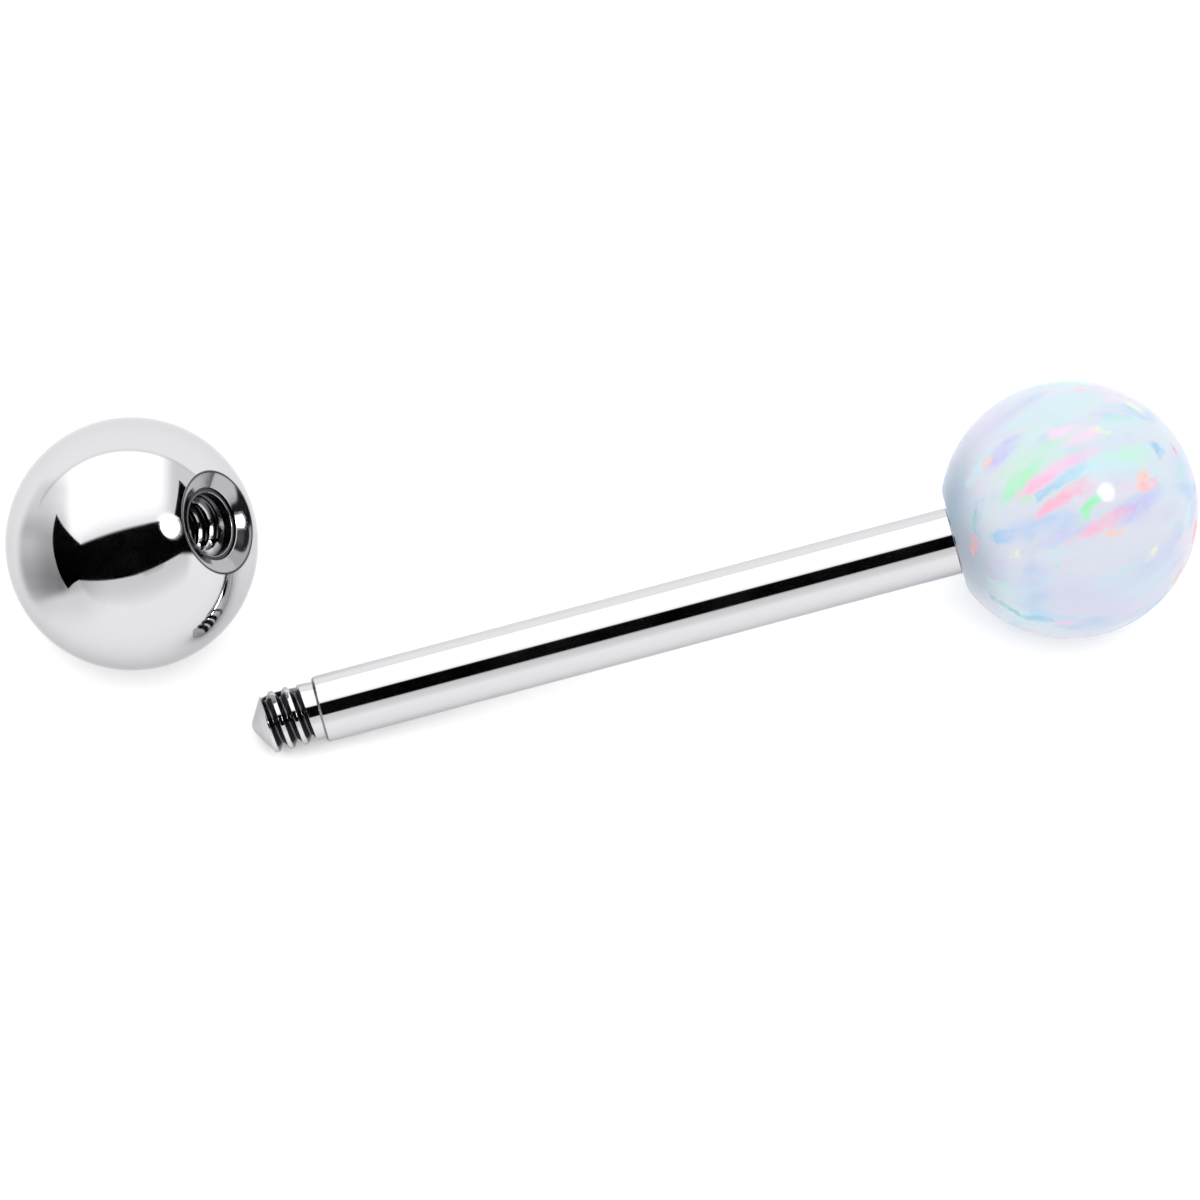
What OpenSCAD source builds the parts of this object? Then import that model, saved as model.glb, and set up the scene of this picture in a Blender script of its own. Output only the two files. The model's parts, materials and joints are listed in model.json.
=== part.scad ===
// Tongue barbell. A straight steel shaft has an opal ball fixed on one end and a cut thread
// on the other. The steel ball that closes it is taken off and lies beside the thread.
// All sizes are in millimetres. The parts rest on z = 0, with the origin in the middle of
// the floor area that they cover. The shaft lies along X, with its thread towards -X.

/* [Shaft] */
// Diameter of the plain shaft
shaft_d = 1.6; // [1.2:0.1:2]
// Length of the plain shaft, from the opal ball to the shoulder before the thread
shaft_len = 15.5; // [6:0.5:25]
// Chamfer on the edge of that shoulder
shoulder_chamfer = 0.06; // [0.02:0.01:0.1]

/* [Thread] */
// Diameter over the thread's crests at the foot of the point
thread_d = 1.45; // [1.3:0.01:1.5]
// How much thicker the crests are at the fullest turn, near the shoulder
thread_taper = 0.01; // [0.01:0.005:0.02]
// Distance from one turn of the thread to the next
thread_pitch = 0.35; // [0.3:0.01:0.4]
// Width of the flat on each crest
crest_flat = 0.095; // [0.06:0.005:0.12]
// Width of the flat at the bottom of the groove
root_flat = 0.04; // [0.03:0.005:0.06]
// Angle between the two sides of the groove
thread_angle = 60; // [55:1:65]
// Length of the cut thread, from the shoulder to the foot of the point
thread_len = 1.25; // [1.1:0.05:1.4]
// How far from the shoulder the groove starts
groove_start = 0.15; // [0.1:0.01:0.2]
// Diameter of the neck where it leaves the shoulder
neck_d = 1.37; // [1.2:0.01:1.44]
// Length over which the neck widens to the fullest turn
neck_len = 0.6; // [0.4:0.05:0.8]
// Angle of the pointed end
point_angle = 120; // [100:5:130]
// Radius that rounds the point
point_round = 0.3; // [0.1:0.05:0.4]

/* [Opal ball] */
// Diameter of the opal ball
opal_d = 6.1; // [4:0.1:8]
// Depth of the flat that is ground on the ball where the shaft meets it
opal_flat_depth = 0.25; // [0.2:0.01:0.4]
// Diameter of the post that holds the ball
post_d = 1; // [0.8:0.05:1.15]
// Length of the post inside the ball
post_len = 3; // [2:0.1:4]

/* [Steel ball] */
// Diameter of the steel ball
ball_d = 6; // [5:0.1:8]
// Width of the sloping rim around the hole, from its outer edge to the seat
rim_w = 0.35; // [0.2:0.01:0.5]
// Angle of the sloping rim
rim_angle = 122; // [90:1:130]
// Depth of the round seat for the end of the shaft
seat_depth = 0.05; // [0.02:0.01:0.2]
// Depth of the thread inside the ball
inner_thread_len = 1.45; // [1.4:0.05:1.6]
// Depth of the drilled hole, from the seat to the foot of its drill point
hole_depth = 3.3; // [3.1:0.1:4]

/* [Clearances] */
// Gap between the opal ball and the post and shaft that carry it
opal_gap = 0.02; // [0.01:0.01:0.05]
// Gap around the end of the shaft in the seat
seat_gap = 0.07; // [0.02:0.01:0.1]
// Gap between the two threads at their crests
thread_gap = 0.02; // [0.01:0.005:0.03]

/* [Arrangement] */
// How far beyond the thread's point the middle of the steel ball lies
ball_ahead = 1.91; // [0:0.01:10]
// How far to the side of the shaft the middle of the steel ball lies
ball_aside = 4.24; // [4.1:0.01:15]
// Angle of the ball's hole above the floor
hole_lift = 40.3; // [0:0.1:80]
// Angle of the ball's hole around the upright, from +X
hole_turn = -23.4; // [-180:0.1:180]

/* [Hidden] */
$fn = 96;

// How far a cut runs past the face that it opens
past = 0.5;
// How far a thread cutter reaches past the wall that it cuts
cutter_past = 0.03;
// Sections of a thread cutter in one turn
steps_per_turn = 40;
// Angle around the shaft at which its groove starts, on the side away from the viewer
groove_start_angle = 86;
// Angle around the ball's hole at which its groove starts
inner_groove_start_angle = 0;
// Angle over which a groove deepens from nothing where it starts or ends
runout_angle = 45;
// Points on the rounded end of the shaft
point_steps = 6;
// Angle of the drill point at the bottom of the ball's hole
drill_angle = 118;

shaft_r = shaft_d / 2;
crest_r = thread_d / 2;
full_r = (thread_d + thread_taper) / 2;
flank_slope = tan(thread_angle / 2);
thread_depth = (thread_pitch - crest_flat - root_flat) / (2 * flank_slope);
root_r = crest_r - thread_depth;
opal_r = opal_d / 2;
ball_r = ball_d / 2;

// Distances along the shaft, from the middle of the opal ball towards the thread
opal_face = opal_r - opal_flat_depth;
shaft_start = opal_face + opal_gap;
shoulder = shaft_start + shaft_len;
point_foot = shoulder + thread_len;
point_half = point_angle / 2;
point_sharp = point_foot + crest_r / tan(point_half);
point_round_centre = point_sharp - point_round / sin(point_half);
point_end = point_round_centre + point_round;

// The shaft leans down from the opal ball until the foot of its point touches the floor
lean = asin(opal_r / norm([point_foot, crest_r])) - atan(crest_r / point_foot);

// Sizes of the steel ball's hole, with heights along it from the middle of the ball
inner_crest_r = crest_r + thread_gap;
inner_root_r = root_r + 2 * thread_gap;
relief_r = inner_crest_r + thread_gap;
// The hole is plain as far down as the shaft has no full groove for a turn to run in
relief_depth = groove_start + thread_pitch * runout_angle / 360 + root_flat;
seat_r = shaft_r + seat_gap;
rim_r = seat_r + rim_w;
rim_slope = 1 / tan(rim_angle / 2);
rim_top = sqrt(ball_r * ball_r - rim_r * rim_r);
seat_top = rim_top - rim_w * rim_slope;
seat_floor = seat_top - seat_depth;
bore_top = seat_floor - relief_depth;
bore_bottom = seat_floor - hole_depth;
drill_tip = bore_bottom - inner_root_r / tan(drill_angle / 2);

// Middles of the two balls before the origin is moved to the middle of the floor area
loose_x = -point_end * cos(lean) - ball_ahead;
floor_low = [min(loose_x - ball_r, -opal_r), min(ball_aside - ball_r, -opal_r)];
floor_high = [max(loose_x + ball_r, opal_r), max(ball_aside + ball_r, opal_r)];
floor_middle = (floor_low + floor_high) / 2;
opal_centre = [-floor_middle.x, -floor_middle.y, opal_r];
ball_centre = [loose_x - floor_middle.x, ball_aside - floor_middle.y, ball_r];

// A point of a cutter's section, turned to its angle and lifted to its height
function on_helix(r, z, angle) = [r * cos(angle), r * sin(angle), z];

// 0 at an end of the groove and 1 where it has its full depth
function groove_share(turned, total) =
    min(1, turned / runout_angle, (total - turned) / runout_angle);

// A cutter that follows a right-hand thread upwards from z = 0 and angle 0. The section is a
// list of [radius, height], listed anticlockwise, and retreat is how far it moves outwards
// where the groove starts and ends.
module thread_cutter(section, turns, retreat) {
    total = 360 * turns;
    steps = ceil(steps_per_turn * turns);
    corners = len(section);
    points = [
        for (i = [0:steps])
        let (turned = total * i / steps, shift = retreat * (1 - groove_share(turned, total)))
        for (p = section)
        on_helix(p[0] + shift, p[1] + thread_pitch * turned / 360, turned)
    ];
    sides = [
        for (i = [0:steps - 1], k = [0:corners - 1])
        let (a = i * corners + k, b = i * corners + (k + 1) % corners)
        each [[a, b, b + corners], [a, b + corners, a + corners]]
    ];
    first_end = [for (k = [1:corners - 2]) [0, k + 1, k]];
    last = steps * corners;
    last_end = [for (k = [1:corners - 2]) [last, last + k, last + k + 1]];
    polyhedron(points = points, faces = concat(sides, first_end, last_end));
}

// The groove between the turns on the shaft
module outer_groove(length) {
    outer_r = crest_r + cutter_past;
    outer_half = root_flat / 2 + (outer_r - root_r) * flank_slope;
    section = [
        [root_r, -root_flat / 2],
        [outer_r, -outer_half],
        [outer_r, outer_half],
        [root_r, root_flat / 2]
    ];
    thread_cutter(section, length / thread_pitch, thread_depth + cutter_past);
}

// The groove in the ball's hole, which has the shape of the shaft's turns and the gap
module inner_groove(length) {
    inner_r = inner_root_r - cutter_past;
    inner_half = crest_flat / 2 + (inner_crest_r - inner_r) * flank_slope;
    section = [
        [inner_r, -inner_half],
        [inner_crest_r, -crest_flat / 2],
        [inner_crest_r, crest_flat / 2],
        [inner_r, inner_half]
    ];
    thread_cutter(section, length / thread_pitch, inner_r - inner_crest_r - cutter_past);
}

// The outline of the post, shaft, neck, thread and rounded point, as [radius, height]
function shaft_outline() = [
    [0, shaft_start - post_len],
    [post_d / 2, shaft_start - post_len],
    [post_d / 2, shaft_start],
    [shaft_r, shaft_start],
    [shaft_r, shoulder - shoulder_chamfer],
    [shaft_r - shoulder_chamfer, shoulder],
    [neck_d / 2, shoulder],
    [full_r, shoulder + neck_len],
    [crest_r, point_foot],
    for (i = [0:point_steps - 1])
    let (angle = (90 - point_half) * (1 - i / point_steps))
    [point_round * sin(angle), point_round_centre + point_round * cos(angle)],
    [0, point_end]
];

module threaded_shaft() {
    color("lightsteelblue")
    translate(opal_centre)
    rotate([0, -90 - lean, 0])
    difference() {
        rotate_extrude() polygon(shaft_outline());
        translate([0, 0, shoulder + groove_start])
        rotate([0, 0, groove_start_angle])
        outer_groove(point_sharp - shoulder - groove_start);
    }
}

module opal_ball() {
    color("lavender")
    translate(opal_centre)
    rotate([0, -90 - lean, 0])
    difference() {
        sphere(d = opal_d);
        translate([0, 0, opal_face]) cylinder(r = opal_r, h = opal_flat_depth + past);
        translate([0, 0, opal_face - post_len])
        cylinder(d = post_d + 2 * opal_gap, h = post_len + past);
    }
}

// The outline of the steel ball's hole, as [radius, height]
function hole_outline() = [
    [0, drill_tip],
    [inner_root_r, bore_bottom],
    [inner_root_r, bore_top],
    [relief_r, bore_top],
    [relief_r, seat_floor],
    [seat_r, seat_floor],
    [seat_r, seat_top],
    [rim_r + past, rim_top + past * rim_slope],
    [rim_r + past, ball_r + past],
    [0, ball_r + past]
];

module steel_ball() {
    color("silver")
    translate(ball_centre)
    rotate([0, 90 - hole_lift, hole_turn])
    difference() {
        sphere(d = ball_d);
        rotate_extrude() polygon(hole_outline());
        translate([0, 0, seat_floor - inner_thread_len])
        rotate([0, 0, inner_groove_start_angle])
        inner_groove(inner_thread_len);
    }
}

threaded_shaft();
opal_ball();
steel_ball();
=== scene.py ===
"""Tongue barbell: a straight steel shaft with an opal ball on one end and a cut thread on the
other, and the steel ball that closes it, taken off and lying beside the thread.

The file is laid out as an add-on, with one operator for each piece and one for the room
around them. Every length is in metres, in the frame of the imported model.
"""

import json
import math
from collections import namedtuple

import bpy
import numpy as np
from bpy.props import FloatProperty, FloatVectorProperty, PointerProperty
from mathutils import Color, Matrix, Vector


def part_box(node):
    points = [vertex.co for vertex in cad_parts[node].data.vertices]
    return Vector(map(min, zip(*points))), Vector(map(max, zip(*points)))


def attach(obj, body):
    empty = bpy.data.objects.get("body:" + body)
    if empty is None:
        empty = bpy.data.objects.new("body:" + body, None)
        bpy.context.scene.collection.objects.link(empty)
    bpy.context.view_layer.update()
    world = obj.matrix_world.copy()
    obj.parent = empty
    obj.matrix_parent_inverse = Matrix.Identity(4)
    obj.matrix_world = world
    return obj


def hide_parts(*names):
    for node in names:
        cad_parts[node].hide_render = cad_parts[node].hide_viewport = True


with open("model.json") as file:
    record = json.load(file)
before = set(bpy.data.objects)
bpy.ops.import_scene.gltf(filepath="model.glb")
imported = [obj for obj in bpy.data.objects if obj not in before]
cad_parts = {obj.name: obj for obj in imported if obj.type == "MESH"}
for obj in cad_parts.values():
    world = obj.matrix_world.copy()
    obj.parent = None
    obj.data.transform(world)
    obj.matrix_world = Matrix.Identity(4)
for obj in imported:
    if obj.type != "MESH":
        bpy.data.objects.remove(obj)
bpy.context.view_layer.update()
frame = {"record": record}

bl_info = {
    "name": "Tongue barbell",
    "version": (1, 0, 0),
    "blender": (4, 5, 0),
    "location": "3D view > Sidebar > Barbell",
    "description": "Makes a barbell with an opal ball, its loose steel ball and a studio",
    "category": "Add Mesh",
}

MM = 0.001
# Angles of the camera, in degrees. The opal's flecks are charted from there too
VIEW_AZIMUTH = -13.3
VIEW_ELEVATION = 62.6

mounts = {mount["name"]: mount for mount in frame["record"]["mounts"]}
shaft_mount = mounts["shaft"]
thread_mount = mounts["shaft_thread"]
hole_mount = mounts["ball_hole"]
opal_low, opal_high = (Vector(end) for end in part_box("opal_ball"))
steel_low, steel_high = (Vector(end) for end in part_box("steel_ball"))
opal_diameter = opal_high.y - opal_low.y
steel_diameter = steel_high.y - steel_low.y
opal_middle = Vector(
    (
        opal_high.x - opal_diameter / 2,
        (opal_low.y + opal_high.y) / 2,
        opal_high.z - opal_diameter / 2,
    )
)
steel_middle = (steel_low + steel_high) / 2


# Sizes and colours that a user would change


def length_setting(name, description, millimetres):
    """A length in the settings."""
    return FloatProperty(
        name=name,
        description=description,
        default=millimetres * MM,
        unit="LENGTH",
        precision=6,
    )


def angle_setting(name, description, degrees):
    """An angle in the settings."""
    return FloatProperty(
        name=name,
        description=description,
        default=math.radians(degrees),
        subtype="ANGLE",
    )


def share_setting(name, description, default):
    """A number from 0 to 1 in the settings."""
    return FloatProperty(name=name, description=description, default=default, min=0, max=1)


def light_setting(name, description, default):
    """The brightness of a light in the settings."""
    return FloatProperty(name=name, description=description, default=default, min=0)


def colour_setting(name, description, default):
    """A colour in the settings."""
    return FloatVectorProperty(
        name=name,
        description=description,
        default=default,
        size=3,
        min=0,
        max=1,
        subtype="COLOR",
    )


class ShaftSizes(bpy.types.PropertyGroup):
    """Sizes of the steel shaft and of the thread on its end."""

    diameter: length_setting(
        "Diameter", "Diameter of the plain shaft", 2 * shaft_mount["dims"]["r_mm"]
    )
    chamfer: length_setting(
        "Shoulder chamfer", "Chamfer on the edge of the shoulder before the thread", 0.06
    )
    plain_length: length_setting(
        "Plain length",
        "Length of the plain shaft from the opal ball to the chamfer",
        shaft_mount["dims"]["length_mm"],
    )
    crest_diameter: length_setting(
        "Thread diameter",
        "Diameter over the crests at the foot of the point",
        2 * thread_mount["dims"]["r_mm"],
    )
    fullest_diameter: length_setting(
        "Fullest turn", "Diameter over the crest of the fullest turn", 1.46
    )
    neck_diameter: length_setting(
        "Neck diameter", "Diameter of the neck where it leaves the shoulder", 1.37
    )
    neck_length: length_setting(
        "Neck length", "Length over which the neck widens to the fullest turn", 0.6
    )
    pitch: length_setting("Pitch", "Distance from one turn of the thread to the next", 0.35)
    crest_flat: length_setting("Crest flat", "Width of the flat on each crest", 0.095)
    root_flat: length_setting(
        "Root flat", "Width of the flat at the bottom of the groove", 0.04
    )
    flank_angle: angle_setting("Flank angle", "Angle between the sides of the groove", 60)
    groove_start: length_setting(
        "Groove start", "How far from the shoulder the groove starts", 0.15
    )
    groove_angle: angle_setting(
        "Groove start angle", "Angle around the shaft at which the groove starts", 86
    )
    thread_length: length_setting(
        "Thread length",
        "Length from the shoulder to the foot of the point",
        thread_mount["dims"]["length_mm"],
    )
    point_angle: angle_setting("Point angle", "Angle of the pointed end", 120)
    point_round: length_setting("Point rounding", "Radius that rounds the tip", 0.3)
    post_diameter: length_setting(
        "Post diameter", "Diameter of the post inside the opal ball", 1
    )
    post_length: length_setting("Post length", "Length of the post inside the opal ball", 3)


class OpalSizes(bpy.types.PropertyGroup):
    """Sizes and colours of the opal ball."""

    diameter: length_setting("Diameter", "Diameter of the opal ball", opal_diameter / MM)
    flat_depth: length_setting(
        "Flat depth", "Depth of the flat where the shaft meets the ball", 0.25
    )
    flat_rounding: length_setting(
        "Flat rounding", "Radius of the worn edge around the flat", 0.4
    )
    gap: length_setting("Gap", "Gap between the opal and the post in it", 0.02)
    body_colour: colour_setting("Body", "Milky colour of the stone", (0.715, 0.74, 0.825))
    brightness: share_setting(
        "Brightness", "How much of the light the stone's colours give back", 0.605
    )


class SteelBallSizes(bpy.types.PropertyGroup):
    """Sizes of the loose steel ball and its threaded hole."""

    diameter: length_setting("Diameter", "Diameter of the steel ball", steel_diameter / MM)
    rim_width: length_setting("Rim width", "Width of the sloping rim around the hole", 0.35)
    rim_angle: angle_setting("Rim angle", "Angle of the sloping rim", 122)
    seat_diameter: length_setting(
        "Seat diameter", "Diameter of the round seat for the end of the shaft", 1.74
    )
    seat_depth: length_setting("Seat depth", "Depth of the round seat", 0.05)
    relief_diameter: length_setting(
        "Relief diameter", "Diameter of the plain stretch under the seat", 1.53
    )
    relief_depth: length_setting(
        "Relief depth", "Depth of the plain stretch under the seat", 0.23375
    )
    bore_diameter: length_setting(
        "Bore diameter", "Diameter over the inner turns", 2 * hole_mount["dims"]["r_mm"]
    )
    groove_diameter: length_setting(
        "Groove diameter", "Diameter of the inner thread at the bottom of its groove", 1.49
    )
    thread_length: length_setting(
        "Thread length", "Depth of the thread below the seat", 1.45
    )
    groove_angle: angle_setting(
        "Groove start angle", "Angle around the hole at which its groove starts", 0
    )
    hole_depth: length_setting(
        "Hole depth", "Depth of the drilled hole below the seat", 3.3
    )
    drill_angle: angle_setting("Drill angle", "Angle of the drilled hole's end", 118)


class SteelFinish(bpy.types.PropertyGroup):
    """Finish of the polished steel."""

    colour: colour_setting("Colour", "Colour of the polished steel", (0.46, 0.46, 0.473))
    # This colour is also the painted shade in the grooves, on the rim, in the seat and in the
    # hole
    cut_and_shade_colour: colour_setting(
        "Cut colour", "Colour of the darkest lines that a tool has cut", (0.014, 0.014, 0.019)
    )
    edge_tint: colour_setting(
        "Edge tint", "How much the steel gives back at a glancing angle", (0.74, 0.74, 0.75)
    )
    cut_roughness: share_setting(
        "Cut roughness", "How much rougher the steel is in those lines", 0.13
    )
    roughness: share_setting(
        "Roughness", "Roughness of the polish where it is at its best", 0.035
    )
    haze: share_setting("Haze", "How much rougher the polish is where it is hazy", 0.04)


class StudioSettings(bpy.types.PropertyGroup):
    """Camera, floor and light."""

    camera_azimuth: angle_setting(
        "Camera azimuth", "Angle of the camera around the upright, from the front", VIEW_AZIMUTH
    )
    camera_elevation: angle_setting(
        "Camera elevation", "Angle of the camera above the floor", VIEW_ELEVATION
    )
    camera_target: FloatVectorProperty(
        name="Camera target",
        description="Point in the middle of the picture",
        default=(-0.375 * MM, -1.39 * MM, 2.07 * MM),
        size=3,
        subtype="TRANSLATION",
        unit="LENGTH",
    )
    camera_distance: length_setting(
        "Camera distance", "Distance from the camera to its target", 600
    )
    picture_width: length_setting(
        "Picture width", "Width of what the picture shows at the target", 28.3
    )
    floor_colour: colour_setting("Floor", "Colour of the floor", (0.92, 0.92, 0.92))
    room_light: light_setting(
        "Room light", "Brightness of the pale room around the parts", 1.85
    )
    wall_light: light_setting(
        "Wall light", "Brightness of the pale tent that the steel mirrors", 1.70
    )
    ceiling_light: light_setting(
        "Ceiling light", "Brightness of the light panel in the roof of the tent", 2.35
    )
    lamp_light: light_setting("Lamp light", "Brightness of the small round lamp", 50.0)


# Meshes. A piece is made of bands, each a grid of points that closes around its axis

# Points in each row around the axis
COLUMNS = 240
# Points that lie in the same small cube become one. The cubes are shifted, so that no row of
# points lies on the face between two of them
CUBE = 2e-8
CUBE_SHIFT = 0.37
# Rows of a thread's turn, as shares of its flat bottom, its side and half its crest
BOTTOM_ROWS = (0.6, 1, 1.4)
SIDE_ROWS = (0.25, 0.45, 0.65, 0.85, 0.94, 1)
CREST_ROWS = (0.12, 0.3, 0.6)
# Turns that a threaded band starts with beyond each of its ends
SPARE_TURNS = 3
# Angle over which a groove deepens from nothing
RUNOUT_ANGLE = math.radians(45)
# Steps along the axis and around it over which a thread's slope is measured
RISE_STEP = 1e-6
TURN_STEP = 0.002
# Lengths over which a groove's side rounds into its bottom and into the crest
BOTTOM_BLEND = 0.01 * MM
CREST_BLEND = 0.008 * MM

around = np.arange(COLUMNS) * 2 * math.pi / COLUMNS

# The groove of a thread: the height and angle at which it starts, how far a turn rises, how
# much it rises in all, and half the width of its flat bottom and of its mouth
Groove = namedtuple("Groove", "start angle pitch length half_flat half_mouth")


def turned_band(rows):
    """A band turned around the axis, from rows of (radius, height, normal out, normal up)."""
    rows = np.asarray(rows, float)
    out = np.stack([np.cos(around), np.sin(around)], axis=-1)
    points = np.empty((len(rows), COLUMNS, 3))
    normals = np.empty_like(points)
    points[:, :, :2] = rows[:, None, 0:1] * out[None]
    points[:, :, 2] = rows[:, None, 1]
    normals[:, :, :2] = rows[:, None, 2:3] * out[None]
    normals[:, :, 2] = rows[:, None, 3]
    return points, normals


def with_cut_and_shade(band, amount):
    """The band with a cut finish and painted shade on it, from 0 for a mirror polish to 1 for a
    dark line.
    """
    return band[0], band[1], np.broadcast_to(amount, band[0].shape[:2])


def straight(start, end):
    """Rows of a straight stretch of outline. Going along it, the outside is on the right."""
    along = np.subtract(end, start)
    out = np.array([along[1], -along[0]]) / np.hypot(*along)
    return [(*start, *out), (*end, *out)]


def rounded(before, point, after, steps=5):
    """Rows of a corner of the outline that is rounded from one point to another."""
    before, point, after = (np.asarray(place, float) for place in (before, point, after))
    rows = []
    for share in np.linspace(0, 1, steps + 1):
        left = before + (point - before) * share
        right = point + (after - point) * share
        along = right - left
        out = np.array([along[1], -along[0]]) / np.hypot(*along)
        rows.append((*(left + along * share), *out))
    return rows


def arc_rows(height, radius, first_angle, last_angle, steps, out=0.0):
    """Rows of an arc around a middle, with angles measured from its upper end."""
    return [
        (
            out + radius * math.sin(angle),
            height + radius * math.cos(angle),
            math.sin(angle),
            math.cos(angle),
        )
        for angle in np.linspace(first_angle, last_angle, steps + 1)
    ]


def towards(start, end, distance):
    """The point that lies at a distance from the start, on the way to the end."""
    start, end = np.asarray(start, float), np.asarray(end, float)
    return start + (end - start) * distance / np.hypot(*(end - start))


def corner(radius, height, before=0.0, after=0.0, cut_and_shade=0.0):
    """A corner of an outline, how far it is rounded each way, and how much cut finish and
    painted shade the way to it has.
    """
    return (radius, height), before, after, cut_and_shade


def outline_bands(*corners):
    """Bands for each straight stretch between the corners and for each rounded corner."""
    bands = []
    start = corners[0][0]
    for index in range(1, len(corners)):
        point, before, after, cut_and_shade = corners[index]
        end = point
        if before:
            end = towards(point, corners[index - 1][0], before)
        bands.append(with_cut_and_shade(turned_band(straight(start, end)), cut_and_shade))
        start = point
        if before:
            start = towards(point, corners[index + 1][0], after)
            bands.append(turned_band(rounded(end, point, start)))
    return bands


def lower_of(first, second, blend):
    """The smaller of two values, with a smooth change from one to the other."""
    share = np.clip(0.5 + 0.5 * (second - first) / blend, 0, 1)
    return second * (1 - share) + first * share - blend * share * (1 - share)


def eased(value, low, high):
    """0 below low, 1 above high, and smooth between them."""
    share = np.clip((value - low) / (high - low), 0, 1)
    return share * share * (3 - 2 * share)


def faded(value, low, high):
    """1 below low, 0 above high, and smooth between them."""
    return 1 - eased(value, low, high)


def groove_heights(groove):
    """Heights of one turn's rows from the middle of the groove, close together at its edges."""
    flank = groove.half_mouth - groove.half_flat
    crest = groove.pitch / 2 - groove.half_mouth
    one_side = [groove.half_flat * share for share in BOTTOM_ROWS]
    one_side += [groove.half_flat + flank * share for share in SIDE_ROWS]
    one_side += [groove.half_mouth + crest * share for share in CREST_ROWS]
    return np.array([0.0] + one_side + [-height for height in one_side] + [groove.pitch / 2])


def groove_rise(groove, turned):
    """The height of the groove's middle after it has turned so far."""
    return groove.start + groove.pitch * turned / (2 * math.pi)


def groove_side(groove, angle, height):
    """How far beyond the flat of the nearest turn's groove a point is, and its depth's share."""
    turned = np.mod(angle - groove.angle, 2 * math.pi)
    turn = np.round((height - groove_rise(groove, turned)) / groove.pitch)
    turned = turned + 2 * math.pi * turn
    side = np.abs(height - groove_rise(groove, turned)) - groove.half_flat
    whole = 2 * math.pi * groove.length / groove.pitch
    share = np.minimum(turned, whole - turned) / RUNOUT_ANGLE
    return (side + np.sqrt(side * side + BOTTOM_BLEND**2)) / 2, np.minimum(share, 1)


def threaded_band(groove, radius_at, low, high, fixed, facing):
    """A band whose rows follow the turns of a groove. radius_at gives its radius."""
    turns = np.arange(-SPARE_TURNS, math.ceil((high - low) / groove.pitch) + SPARE_TURNS + 1)
    rise = groove_rise(groove, np.mod(around - groove.angle, 2 * math.pi))
    heights = groove_heights(groove)
    rows = (turns[:, None] * groove.pitch + heights[None]).reshape(-1, 1) + rise[None]
    fixed_rows = np.repeat(np.asarray(fixed, float)[:, None], COLUMNS, axis=1)
    rows = np.clip(np.sort(np.concatenate([rows, fixed_rows]), axis=0), low, high)
    keep = (rows > low).any(axis=1) & (rows < high).any(axis=1)
    first, last = np.flatnonzero(keep)[[0, -1]]
    rows = rows[max(first - 1, 0) : last + 2]
    angle = np.repeat(around[None], len(rows), axis=0)
    radius = radius_at(angle, rows)
    slope = radius_at(angle, rows + RISE_STEP) - radius_at(angle, rows - RISE_STEP)
    slope = slope / (2 * RISE_STEP)
    twist = radius_at(angle + TURN_STEP, rows) - radius_at(angle - TURN_STEP, rows)
    twist = twist / (2 * TURN_STEP) / radius
    out_x, out_y = np.cos(angle), np.sin(angle)
    normals = np.stack([out_x + out_y * twist, out_y - out_x * twist, -slope], axis=-1)
    normals *= facing / np.linalg.norm(normals, axis=-1, keepdims=True)
    return np.stack([radius * out_x, radius * out_y, rows], axis=-1), normals


def grid_corners(bands):
    """The corners of every face of the bands' grids."""
    corners, first = [], 0
    for band in bands:
        size = band[0].shape[0] * COLUMNS
        index = first + np.arange(size).reshape(-1, COLUMNS)
        side = np.roll(index, -1, axis=1)
        quads = np.stack([index[:-1], side[:-1], side[1:], index[1:]], axis=-1)
        corners.append(quads.reshape(-1, 4))
        first += size
    return np.concatenate(corners).tolist()


def outward_face(quad, merged, points, normals):
    """A face of merged points, turned the way its normals point, and those normals.

    A quad that the merging has closed to a line gives an empty face.
    """
    ends = [merged[end] for end in quad]
    chosen = [i for i in range(4) if ends[i] != ends[i - 1]]
    face = [int(ends[i]) for i in chosen]
    if len(face) < 3 or len(set(face)) < len(face):
        return [], []
    a, b, c = (points[end] for end in face[:3])
    facing = np.cross(b - a, c - a)
    if len(face) == 4:
        facing = facing + np.cross(c - a, points[face[3]] - a)
    shade = [normals[quad[i]] for i in chosen]
    if facing @ sum(shade) < 0:
        face.reverse()
        shade.reverse()
    return face, shade


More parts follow.
